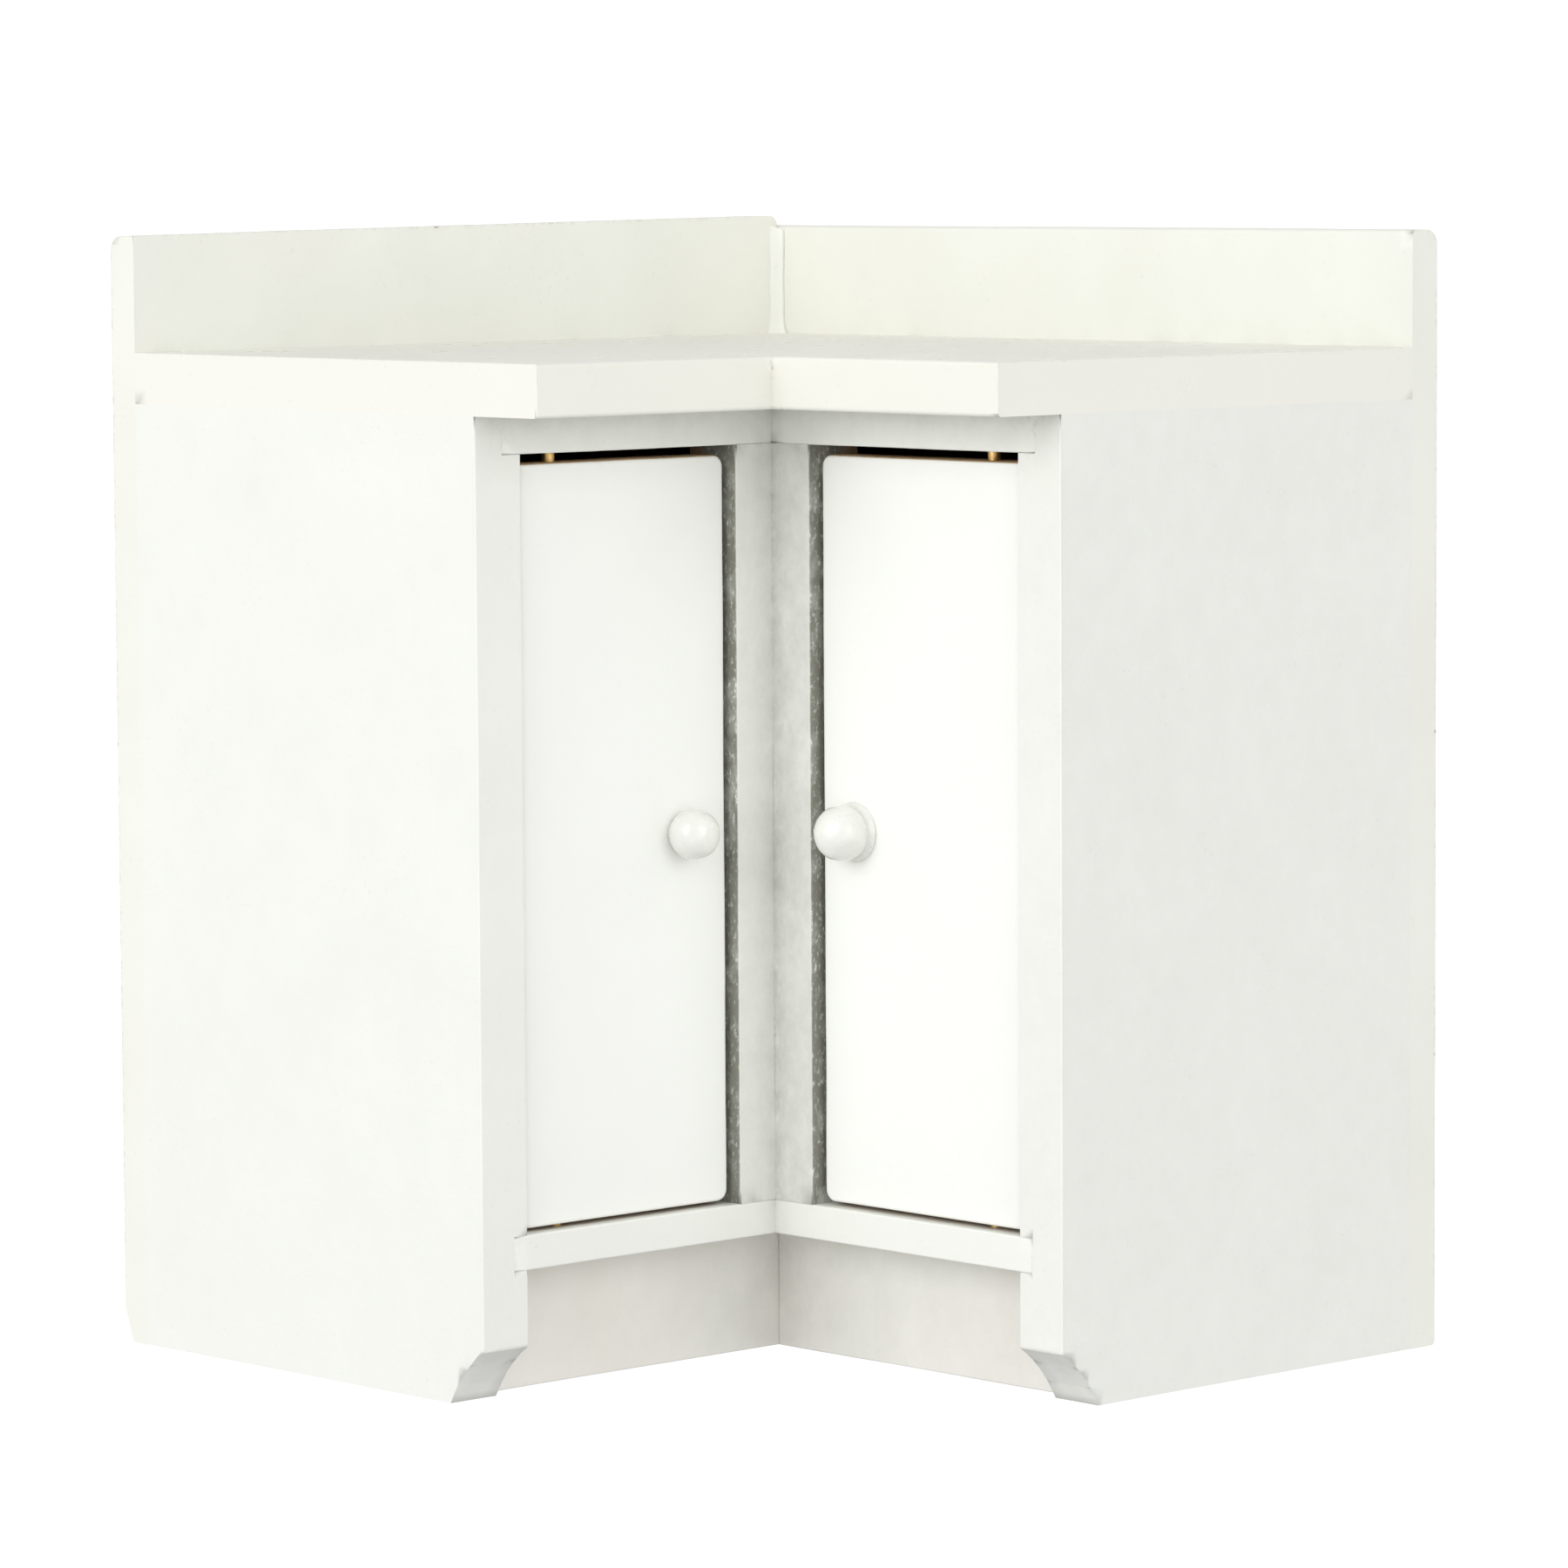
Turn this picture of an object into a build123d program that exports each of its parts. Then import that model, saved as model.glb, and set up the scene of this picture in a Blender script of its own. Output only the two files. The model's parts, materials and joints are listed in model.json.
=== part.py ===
"""Dolls' house kitchen unit at 1:12: an L-shaped corner base cabinet with a worktop.

Two cupboard arms meet at a right angle and stand in the corner of a room. The left arm runs
along the left wall, towards -Y, and its front faces +X. The right arm runs along the back
wall, towards +X, and its front faces -Y. The two fronts meet at an inner corner. The origin is
at the middle of the footprint, on the floor, with +Z up. All sizes are in millimetres.
"""

import os
from dataclasses import dataclass

from build123d import *

# ---------------------------------------------------------------- driving dimensions
LEFT_ARM_LENGTH = 69.5        # back wall to the left end face
RIGHT_ARM_LENGTH = 72.5       # left wall to the right end face
LEFT_ARM_DEPTH = 42.2         # left wall to the left front
RIGHT_ARM_DEPTH = 40.4        # back wall to the right front
WORKTOP_TOP = 76.0            # a 36 inch worktop at 1:12
WORKTOP_THICKNESS = 3.9
LEFT_WORKTOP_OVERHANG = 6.9
RIGHT_WORKTOP_OVERHANG = 6.3
WORKTOP_EASING = 0.3

BACK_BOARD_THICKNESS = 2.8
RIGHT_BACK_BOARD_TOP = 84.8
LEFT_BACK_BOARD_END_TOP = 84.8     # height at the end face
LEFT_BACK_BOARD_CORNER_TOP = 85.6  # height at the room corner, a little proud of the other board
BACK_BOARD_TOP_ROUND = 1.2         # wall side of the top edge
BACK_BOARD_FRONT_ROUND = 0.4       # room side of the top edge
WALL_FOOT_EASING_HEIGHT = 2.6      # worn foot of the left back board, on its wall side
WALL_FOOT_EASING_DEPTH = 0.9
CORNER_BEAD_WIDTH = 0.9            # also trimmed off the worktop's room corner

END_PANEL_THICKNESS = 4.4
FOOT_COVE_DEPTH = 3.7
FOOT_COVE_HEIGHT = 4.2
FOOT_COVE_BOW = 0.32          # how far the cove's curve stands off its chord
PANEL_EASING = 0.15

FLOOR_BOTTOM = 9.75
FLOOR_THICKNESS = 2.6
FLOOR_HOUSING = 1.3           # how far the floor board is let into each end panel
RAIL_HEIGHT = 2.85
RAIL_DEPTH = 5.0
RAIL_HOUSING = 1.8            # how far each top rail is let into its end panel
LEFT_STILE_WIDTH = 3.6
RIGHT_STILE_WIDTH = 4.1
FRAME_EASING = 0.15

TOE_KICK_RECESS = 4.0
TOE_KICK_THICKNESS = 3.0
TOE_KICK_LIFT = 0.3           # clear of the floor, so that the unit stands on its end panels

DOOR_THICKNESS = 3.0
DOOR_RECESS = 0.8             # door face behind the front frame
DOOR_FREE_GAP = 0.5
DOOR_HINGE_GAP = 0.3
DOOR_TOP_GAP = 0.75
DOOR_BOTTOM_GAP = 0.3
DOOR_HINGE_ROUND = 1.0        # both long edges on the hinge side, so that the door can turn
DOOR_CORNER_ROUND = 0.9       # free corners, seen from the front
DOOR_FACE_EASING = 0.3

PIN_INSET = 4.6               # pin axis from the end panel's inner face
PIN_RADIUS = 0.5
PIN_CLEARANCE = 0.05          # radial, pin in door
PIN_ENGAGEMENT = 5.0          # length of each pin inside the door
PIN_END_CLEARANCE = 0.3
PIN_HEAD_RADIUS = 1.0
PIN_HEAD_THICKNESS = 0.45

KNOB_HEIGHT = 40.6            # knob axis above the floor
LEFT_KNOB_INSET = 4.5         # knob axis from the door's free edge
LEFT_KNOB_RADIUS = 1.9
LEFT_KNOB_FOOT_RADIUS = 1.4
LEFT_KNOB_FOOT_HEIGHT = 0.3   # where the ball starts
RIGHT_KNOB_INSET = 3.5
RIGHT_KNOB_RADIUS = 2.1
RIGHT_KNOB_FOOT_RADIUS = 2.35
RIGHT_KNOB_FOOT_HEIGHT = 1.0
KNOB_STAND_OFF = 1.45         # ball centre from the door face
KNOB_STEM_RADIUS = 0.6
KNOB_STEM_LENGTH = 2.0

# ---------------------------------------------------------------- derived heights and planes
CARCASS_TOP = WORKTOP_TOP - WORKTOP_THICKNESS
RAIL_BOTTOM = CARCASS_TOP - RAIL_HEIGHT
FLOOR_TOP = FLOOR_BOTTOM + FLOOR_THICKNESS
DOOR_BOTTOM = FLOOR_TOP + DOOR_BOTTOM_GAP
DOOR_TOP = RAIL_BOTTOM - DOOR_TOP_GAP
DOOR_MIDDLE = -DOOR_RECESS - DOOR_THICKNESS / 2

LEFT_WALL_X = -RIGHT_ARM_LENGTH / 2
RIGHT_END_X = RIGHT_ARM_LENGTH / 2
BACK_WALL_Y = LEFT_ARM_LENGTH / 2
LEFT_END_Y = -LEFT_ARM_LENGTH / 2
LEFT_FRONT_X = LEFT_WALL_X + LEFT_ARM_DEPTH
RIGHT_FRONT_Y = BACK_WALL_Y - RIGHT_ARM_DEPTH
LEFT_BOARD_FACE_X = LEFT_WALL_X + BACK_BOARD_THICKNESS
BACK_BOARD_FACE_Y = BACK_WALL_Y - BACK_BOARD_THICKNESS


@dataclass
class Arm:
    """One arm of the L, with places given along its front from the inner corner and out from it."""

    name: str
    front_length: float
    depth: float
    stile_width: float
    knob_inset: float
    knob_radius: float
    knob_foot_radius: float
    knob_foot_height: float
    along: Vector
    out: Vector
    passes_corner: bool       # its rail, stile and toe kick run on behind the other arm's

    def point(self, along, out, height=0.0):
        """A place given along the front from the inner corner, and out from the front."""
        corner = Vector(LEFT_FRONT_X, RIGHT_FRONT_Y, height)
        return corner + self.along * along + self.out * out

    def plan(self, along_from, along_to, out_from, out_to):
        """Centre and size, along X and Y, of a rectangle seen from above."""
        first = self.point(along_from, out_from)
        last = self.point(along_to, out_to)
        centre = ((first.X + last.X) / 2, (first.Y + last.Y) / 2)
        return centre, (abs(last.X - first.X), abs(last.Y - first.Y))

    def side_plane(self, along):
        """Upright plane across the arm, with its x axis out of the front and its y axis up."""
        return Plane(origin=self.point(along, 0), x_dir=self.out, z_dir=self.out.cross(Vector(0, 0, 1)))

    def along_front(self, shape):
        """How far along the front a face or an edge is."""
        return (shape.center() - self.point(0, 0)).dot(self.along)

    def out_of_front(self, shape):
        """How far out of the front a face or an edge is."""
        return (shape.center() - self.point(0, 0)).dot(self.out)

    @property
    def panel_face(self):
        """Distance along the front to the end panel's inner face."""
        return self.front_length - END_PANEL_THICKNESS

    @property
    def pin_place(self):
        return self.point(self.panel_face - PIN_INSET, DOOR_MIDDLE)

    @property
    def knob_base(self):
        """Where the knob's axis meets the door's face."""
        return self.point(self.free_edge + self.knob_inset, -DOOR_RECESS, KNOB_HEIGHT)

    @property
    def free_edge(self):
        return self.stile_width + DOOR_FREE_GAP

    @property
    def hinge_edge(self):
        return self.panel_face - DOOR_HINGE_GAP


LEFT_ARM = Arm(
    name="left",
    front_length=LEFT_ARM_LENGTH - RIGHT_ARM_DEPTH,
    depth=LEFT_ARM_DEPTH,
    stile_width=LEFT_STILE_WIDTH,
    knob_inset=LEFT_KNOB_INSET,
    knob_radius=LEFT_KNOB_RADIUS,
    knob_foot_radius=LEFT_KNOB_FOOT_RADIUS,
    knob_foot_height=LEFT_KNOB_FOOT_HEIGHT,
    along=Vector(0, -1, 0),
    out=Vector(1, 0, 0),
    passes_corner=True,
)
RIGHT_ARM = Arm(
    name="right",
    front_length=RIGHT_ARM_LENGTH - LEFT_ARM_DEPTH,
    depth=RIGHT_ARM_DEPTH,
    stile_width=RIGHT_STILE_WIDTH,
    knob_inset=RIGHT_KNOB_INSET,
    knob_radius=RIGHT_KNOB_RADIUS,
    knob_foot_radius=RIGHT_KNOB_FOOT_RADIUS,
    knob_foot_height=RIGHT_KNOB_FOOT_HEIGHT,
    along=Vector(1, 0, 0),
    out=Vector(0, -1, 0),
    passes_corner=False,
)


def save(piece, node):
    piece.part.label = node
    export_step(piece.part, f"parts/{node}.step")


# ---------------------------------------------------------------- end panels
def make_end_panel(arm):
    """Upright end board with a coved foot, housed for the floor board and the top rail."""
    back = BACK_BOARD_THICKNESS - arm.depth
    cove_middle = (-FOOT_COVE_DEPTH / 2 - FOOT_COVE_BOW * 0.75, FOOT_COVE_HEIGHT / 2 + FOOT_COVE_BOW)
    with BuildPart() as panel:
        with BuildSketch(arm.side_plane(arm.front_length - END_PANEL_THICKNESS / 2)):
            with BuildLine():
                Polyline((-FOOT_COVE_DEPTH, 0), (back, 0), (back, CARCASS_TOP), (0, CARCASS_TOP),
                         (0, FOOT_COVE_HEIGHT))
                ThreePointArc((0, FOOT_COVE_HEIGHT), cove_middle, (-FOOT_COVE_DEPTH, 0))
            make_face()
        extrude(amount=END_PANEL_THICKNESS / 2, both=True)
        front_edges = panel.edges().filter_by(Axis.Z).sort_by(arm.out_of_front)[-2:]
        fillet(front_edges, PANEL_EASING)
        centre, size = arm.plan(arm.panel_face, arm.panel_face + FLOOR_HOUSING, back, 0)
        with BuildSketch(Plane.XY.offset(FLOOR_BOTTOM)):
            with Locations(centre):
                Rectangle(*size)
        extrude(amount=FLOOR_THICKNESS, mode=Mode.SUBTRACT)
        centre, size = arm.plan(arm.panel_face, arm.panel_face + RAIL_HOUSING, -RAIL_DEPTH, 0)
        with BuildSketch(Plane.XY.offset(RAIL_BOTTOM)):
            with Locations(centre):
                Rectangle(*size)
        extrude(amount=RAIL_HEIGHT, mode=Mode.SUBTRACT)
    save(panel, f"{arm.name}_end_panel")


# ---------------------------------------------------------------- back boards and their bead
def make_right_back_board():
    """Board on the back wall, the full length of the right arm, up to the top of the upstand."""
    with BuildPart() as board:
        with BuildSketch(Plane.YZ.offset(LEFT_WALL_X)):
            with Locations((BACK_WALL_Y, 0)):
                Rectangle(BACK_BOARD_THICKNESS, RIGHT_BACK_BOARD_TOP, align=(Align.MAX, Align.MIN))
        extrude(amount=RIGHT_ARM_LENGTH)
        top_edges = board.edges().filter_by(Axis.X).group_by(Axis.Z)[-1].sort_by(Axis.Y)
        fillet(top_edges[-1], BACK_BOARD_TOP_ROUND)
        fillet(board.edges().filter_by(Axis.X).group_by(Axis.Z)[-1].sort_by(Axis.Y)[0],
               BACK_BOARD_FRONT_ROUND)
        foot_edge = board.edges().filter_by(Axis.X).group_by(Axis.Z)[0].sort_by(Axis.Y)[-1]
        fillet(foot_edge, BACK_BOARD_FRONT_ROUND)
    save(board, "right_back_board")


def make_left_back_board():
    """Board on the left wall, butted against the other one, with a top that rises to the corner."""
    length = LEFT_ARM_LENGTH - BACK_BOARD_THICKNESS
    with BuildPart() as board:
        with BuildSketch(Plane.YZ.offset(LEFT_WALL_X)):
            with BuildLine():
                Polyline((LEFT_END_Y, 0), (LEFT_END_Y + length, 0),
                         (LEFT_END_Y + length, LEFT_BACK_BOARD_CORNER_TOP),
                         (LEFT_END_Y, LEFT_BACK_BOARD_END_TOP), close=True)
            make_face()
        extrude(amount=BACK_BOARD_THICKNESS)
        foot_edge = board.edges().filter_by(Axis.Y).group_by(Axis.Z)[0].sort_by(Axis.X)[0]
        wall_face = board.faces().sort_by(Axis.X)[0]
        chamfer(foot_edge, length=WALL_FOOT_EASING_HEIGHT, length2=WALL_FOOT_EASING_DEPTH,
                reference=wall_face)
        top_edges = board.faces().sort_by(Axis.Z)[-1].edges().sort_by(Axis.X)
        fillet(top_edges[0], BACK_BOARD_TOP_ROUND)
        corner_edge = board.edges().filter_by(Axis.X).group_by(Axis.Y)[-1].sort_by(Axis.Z)[-1]
        fillet(corner_edge, LEFT_BACK_BOARD_CORNER_TOP - RIGHT_BACK_BOARD_TOP)
    save(board, "left_back_board")


def make_corner_bead():
    """Filler bead up the room corner, past the worktop and up the inside of the upstand."""
    corner = (LEFT_BOARD_FACE_X, BACK_BOARD_FACE_Y)
    with BuildPart() as bead:
        with BuildSketch(Plane.XY.offset(CARCASS_TOP)):
            with BuildLine():
                Polyline(corner, (corner[0] + CORNER_BEAD_WIDTH, corner[1]),
                         (corner[0], corner[1] - CORNER_BEAD_WIDTH), close=True)
            make_face()
        extrude(amount=RIGHT_BACK_BOARD_TOP - BACK_BOARD_FRONT_ROUND - CARCASS_TOP)
    save(bead, "upstand_corner_bead")


# ---------------------------------------------------------------- worktop and floor board
def l_outline(left_overhang, right_overhang, end_inset):
    """Corner points of an L that fits inside the back boards, from the room corner round."""
    left_front = LEFT_FRONT_X + left_overhang
    right_front = RIGHT_FRONT_Y - right_overhang
    return [
        (LEFT_BOARD_FACE_X, BACK_BOARD_FACE_Y),
        (RIGHT_END_X - end_inset, BACK_BOARD_FACE_Y),
        (RIGHT_END_X - end_inset, right_front),
        (left_front, right_front),
        (left_front, LEFT_END_Y + end_inset),
        (LEFT_BOARD_FACE_X, LEFT_END_Y + end_inset),
    ]


def front_edges_of(slab, left_front, right_front):
    """Level edges of an L-shaped slab that lie on its two front faces."""
    level = slab.edges().filter_by(Axis.X) + slab.edges().filter_by(Axis.Y)
    return [
        edge for edge in level
        if (edge.center() - Vector(left_front, right_front, edge.center().Z)).length > 1
        and ((abs(edge.center().X - left_front) < 0.01 and edge.center().Y < right_front)
             or (abs(edge.center().Y - right_front) < 0.01 and edge.center().X > left_front))
    ]


def make_worktop():
    """L-shaped slab, flush with the end faces, with eased front edges."""
    outline = l_outline(LEFT_WORKTOP_OVERHANG, RIGHT_WORKTOP_OVERHANG, 0)
    left_front, right_front = outline[3]
    with BuildPart() as worktop:
        with BuildSketch(Plane.XY.offset(CARCASS_TOP)) as shape:
            with BuildLine():
                Polyline(*outline, close=True)
            make_face()
            room_corner = shape.vertices().sort_by_distance(outline[0])[0]
            chamfer(room_corner, CORNER_BEAD_WIDTH)
        extrude(amount=WORKTOP_THICKNESS)
        fillet(front_edges_of(worktop, left_front, right_front), WORKTOP_EASING)
    save(worktop, "worktop")


def make_floor_board():
    """L-shaped bottom shelf; its front edges are the bottom rails that show under the doors."""
    pins = [(arm.pin_place.X, arm.pin_place.Y) for arm in (LEFT_ARM, RIGHT_ARM)]
    with BuildPart() as floor:
        with BuildSketch(Plane.XY.offset(FLOOR_BOTTOM)):
            with BuildLine():
                Polyline(*l_outline(0, 0, END_PANEL_THICKNESS - FLOOR_HOUSING), close=True)
            make_face()
            with Locations(*pins):
                Circle(PIN_RADIUS, mode=Mode.SUBTRACT)
        extrude(amount=FLOOR_THICKNESS)
        fillet(front_edges_of(floor, LEFT_FRONT_X, RIGHT_FRONT_Y), FRAME_EASING)
        with BuildSketch(Plane.XY.offset(FLOOR_BOTTOM)):
            with Locations(*pins):
                Circle(PIN_HEAD_RADIUS)
        extrude(amount=PIN_HEAD_THICKNESS, mode=Mode.SUBTRACT)
    save(floor, "floor_board")


# ---------------------------------------------------------------- front frame
def make_top_rail(arm):
    """Rail under the worktop, above the door, bored for the top hinge pin."""
    start = -RAIL_DEPTH if arm.passes_corner else 0
    centre, size = arm.plan(start, arm.panel_face + RAIL_HOUSING, -RAIL_DEPTH, 0)
    pin = (arm.pin_place.X, arm.pin_place.Y)
    with BuildPart() as rail:
        with BuildSketch(Plane.XY.offset(RAIL_BOTTOM)):
            with Locations(centre):
                Rectangle(*size)
            with Locations(pin):
                Circle(PIN_RADIUS, mode=Mode.SUBTRACT)
        extrude(amount=RAIL_HEIGHT)
        with BuildSketch(Plane.XY.offset(CARCASS_TOP)):
            with Locations(pin):
                Circle(PIN_HEAD_RADIUS)
        extrude(amount=-PIN_HEAD_THICKNESS, mode=Mode.SUBTRACT)
        level = rail.edges().filter_by(Axis((0, 0, 0), arm.along)).group_by(Axis.Z)[0]
        fillet(level.sort_by(arm.out_of_front)[-1], FRAME_EASING)
    save(rail, f"{arm.name}_top_rail")


def make_inner_stile(arm):
    """Post at the inner corner, between the floor board and the top rail."""
    start = -RAIL_DEPTH if arm.passes_corner else 0
    centre, size = arm.plan(start, arm.stile_width, -RAIL_DEPTH, 0)
    with BuildPart() as stile:
        with BuildSketch(Plane.XY.offset(FLOOR_TOP)):
            with Locations(centre):
                Rectangle(*size)
        extrude(amount=RAIL_BOTTOM - FLOOR_TOP)
        front_edges = stile.edges().filter_by(Axis.Z).sort_by(arm.out_of_front)[-2:]
        fillet(front_edges.sort_by(arm.along_front)[-1], FRAME_EASING)
    save(stile, f"{arm.name}_inner_stile")


def make_toe_kick(arm):
    """Plinth board set back under the floor board."""
    back = -TOE_KICK_RECESS - TOE_KICK_THICKNESS
    start = back if arm.passes_corner else -TOE_KICK_RECESS
    centre, size = arm.plan(start, arm.panel_face, back, -TOE_KICK_RECESS)
    with BuildPart() as kick:
        with BuildSketch(Plane.XY.offset(TOE_KICK_LIFT)):
            with Locations(centre):
                Rectangle(*size)
        extrude(amount=FLOOR_BOTTOM - TOE_KICK_LIFT)
    save(kick, f"{arm.name}_toe_kick")


# ---------------------------------------------------------------- doors, knobs and hinge pins
def make_door(arm):
    """Plain slab door that turns on two pins, bored for them and for the knob's stem."""
    centre, size = arm.plan(arm.free_edge, arm.hinge_edge,
                            -DOOR_RECESS - DOOR_THICKNESS, -DOOR_RECESS)
    pin = arm.pin_place
    with BuildPart() as door:
        with BuildSketch(Plane.XY.offset(DOOR_BOTTOM)):
            with Locations(centre):
                Rectangle(*size)
        extrude(amount=DOOR_TOP - DOOR_BOTTOM)
        upright = door.edges().filter_by(Axis.Z).sort_by(arm.along_front)
        fillet(upright[2:], DOOR_HINGE_ROUND)
        corners = door.edges().filter_by(Axis((0, 0, 0), arm.out)).sort_by(arm.along_front)[:2]
        fillet(corners, DOOR_CORNER_ROUND)
        front_face = door.faces().filter_by(Axis((0, 0, 0), arm.out)).sort_by(arm.out_of_front)[-1]
        rim = front_face.edges().sort_by(arm.along_front)[:-1]
        fillet(rim, DOOR_FACE_EASING)
        for height, direction in ((DOOR_TOP, -1), (DOOR_BOTTOM, 1)):
            with BuildSketch(Plane.XY.offset(height)):
                with Locations((pin.X, pin.Y)):
                    Circle(PIN_RADIUS + PIN_CLEARANCE)
            extrude(amount=direction * (PIN_ENGAGEMENT + PIN_END_CLEARANCE), mode=Mode.SUBTRACT)
        with BuildSketch(Plane(origin=arm.knob_base, x_dir=arm.along, z_dir=arm.out)):
            Circle(KNOB_STEM_RADIUS)
        extrude(amount=-KNOB_STEM_LENGTH, mode=Mode.SUBTRACT)
    save(door, f"{arm.name}_door")


def make_knob(arm):
    """Turned ball knob on a low conical foot, with a stem into the door."""
    base = arm.knob_base
    radius = arm.knob_radius
    foot_height = arm.knob_foot_height
    ball_start = (radius**2 - (KNOB_STAND_OFF - foot_height)**2) ** 0.5
    ball_end = KNOB_STAND_OFF + radius
    profile_plane = Plane(origin=base, x_dir=(0, 0, 1), z_dir=Vector(0, 0, 1).cross(arm.out))
    with BuildPart() as knob:
        with BuildSketch(profile_plane):
            with BuildLine():
                Polyline((0, ball_end), (0, -KNOB_STEM_LENGTH),
                         (KNOB_STEM_RADIUS, -KNOB_STEM_LENGTH), (KNOB_STEM_RADIUS, 0),
                         (arm.knob_foot_radius, 0), (ball_start, foot_height))
                ThreePointArc((ball_start, foot_height), (radius, KNOB_STAND_OFF), (0, ball_end))
            make_face()
        revolve(axis=Axis(base, arm.out))
    save(knob, f"{arm.name}_knob")


def make_hinge_pin(arm, end):
    """Brass pin with a small sunk head, driven through the frame into the door's edge."""
    head_height, direction, door_edge = {
        "top": (CARCASS_TOP, -1, DOOR_TOP),
        "bottom": (FLOOR_BOTTOM, 1, DOOR_BOTTOM),
    }[end]
    length = abs(head_height - door_edge) + PIN_ENGAGEMENT
    with BuildPart() as pin:
        with BuildSketch(Plane.XY.offset(head_height)):
            with Locations((arm.pin_place.X, arm.pin_place.Y)):
                Circle(PIN_RADIUS)
        extrude(amount=direction * length)
        tip = pin.edges().sort_by(Axis.Z)[-1 if direction > 0 else 0]
        chamfer(tip, PIN_RADIUS * 0.4)
        with BuildSketch(Plane.XY.offset(head_height)):
            with Locations((arm.pin_place.X, arm.pin_place.Y)):
                Circle(PIN_HEAD_RADIUS)
        extrude(amount=direction * PIN_HEAD_THICKNESS)
    save(pin, f"{arm.name}_{end}_hinge_pin")


os.makedirs("parts", exist_ok=True)
make_right_back_board()
make_left_back_board()
make_corner_bead()
make_worktop()
make_floor_board()
for arm in (LEFT_ARM, RIGHT_ARM):
    make_end_panel(arm)
    make_top_rail(arm)
    make_inner_stile(arm)
    make_toe_kick(arm)
    make_door(arm)
    make_knob(arm)
    make_hinge_pin(arm, "top")
    make_hinge_pin(arm, "bottom")
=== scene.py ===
"""Looks of the dolls' house corner base cabinet: painted wood, enamel knobs and brass pins.

Everything is in metres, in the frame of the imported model. The left arm runs along the wall at -X
and the right arm along the wall at +Y; their fronts face +X and -Y.
"""

import json
import math

import bmesh
import bpy
from mathutils import Matrix, Vector, noise

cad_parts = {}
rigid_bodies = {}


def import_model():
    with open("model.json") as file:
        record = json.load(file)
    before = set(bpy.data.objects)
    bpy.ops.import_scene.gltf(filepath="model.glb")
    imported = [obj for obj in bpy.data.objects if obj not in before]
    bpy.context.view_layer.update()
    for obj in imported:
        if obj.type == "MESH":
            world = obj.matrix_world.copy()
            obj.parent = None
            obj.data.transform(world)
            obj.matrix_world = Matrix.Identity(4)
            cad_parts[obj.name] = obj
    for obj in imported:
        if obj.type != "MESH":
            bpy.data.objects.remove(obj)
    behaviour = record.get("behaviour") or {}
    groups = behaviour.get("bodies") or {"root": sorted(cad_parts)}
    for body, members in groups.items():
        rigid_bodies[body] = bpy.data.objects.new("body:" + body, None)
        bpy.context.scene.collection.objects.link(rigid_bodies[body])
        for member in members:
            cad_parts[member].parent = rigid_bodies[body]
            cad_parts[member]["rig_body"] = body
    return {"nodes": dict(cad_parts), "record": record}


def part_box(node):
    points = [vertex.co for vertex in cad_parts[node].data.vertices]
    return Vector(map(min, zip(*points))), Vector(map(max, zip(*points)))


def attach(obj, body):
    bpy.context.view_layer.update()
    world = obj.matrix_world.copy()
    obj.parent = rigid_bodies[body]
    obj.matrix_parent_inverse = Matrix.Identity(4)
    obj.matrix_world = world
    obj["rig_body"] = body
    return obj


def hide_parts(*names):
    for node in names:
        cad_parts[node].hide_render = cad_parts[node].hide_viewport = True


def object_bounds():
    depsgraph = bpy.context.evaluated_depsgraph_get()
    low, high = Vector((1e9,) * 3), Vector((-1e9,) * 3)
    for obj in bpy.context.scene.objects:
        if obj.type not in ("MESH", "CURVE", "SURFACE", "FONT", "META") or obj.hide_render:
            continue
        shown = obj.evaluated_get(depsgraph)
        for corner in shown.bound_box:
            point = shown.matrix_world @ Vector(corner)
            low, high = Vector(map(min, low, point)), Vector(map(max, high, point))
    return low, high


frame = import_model()
cad_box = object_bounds()
MM = 0.001

# ---------------------------------------------------------------- places taken from the frame
END_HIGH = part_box("left_end_panel")[1]
RIGHT_END_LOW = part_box("right_end_panel")[0]
FLOOR_LOW, FLOOR_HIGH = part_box("floor_board")
RAIL_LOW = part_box("left_top_rail")[0]
LEFT_BOARD_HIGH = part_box("left_back_board")[1]
BACK_BOARD_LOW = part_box("right_back_board")[0]
WORKTOP_LOW, WORKTOP_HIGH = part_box("worktop")
LEFT_FRONT_X = END_HIGH.x
RIGHT_FRONT_Y = RIGHT_END_LOW.y
TOE_SET_BACK = LEFT_FRONT_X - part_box("left_toe_kick")[1].x
OUT_OF_FRONT = {"left": Vector((1, 0, 0)), "right": Vector((0, -1, 0))}

# ---------------------------------------------------------------- camera
CAMERA_PLACE = Vector((388.1, -362.5, 91.4)) * MM
CAMERA_HEADING = math.radians(45 - 1.87)
CAMERA_PITCH = math.radians(-5.21)
CAMERA_ROLL = math.radians(-0.33)
CAMERA_LENS = 161.0
CAMERA_SENSOR = 36


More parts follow.
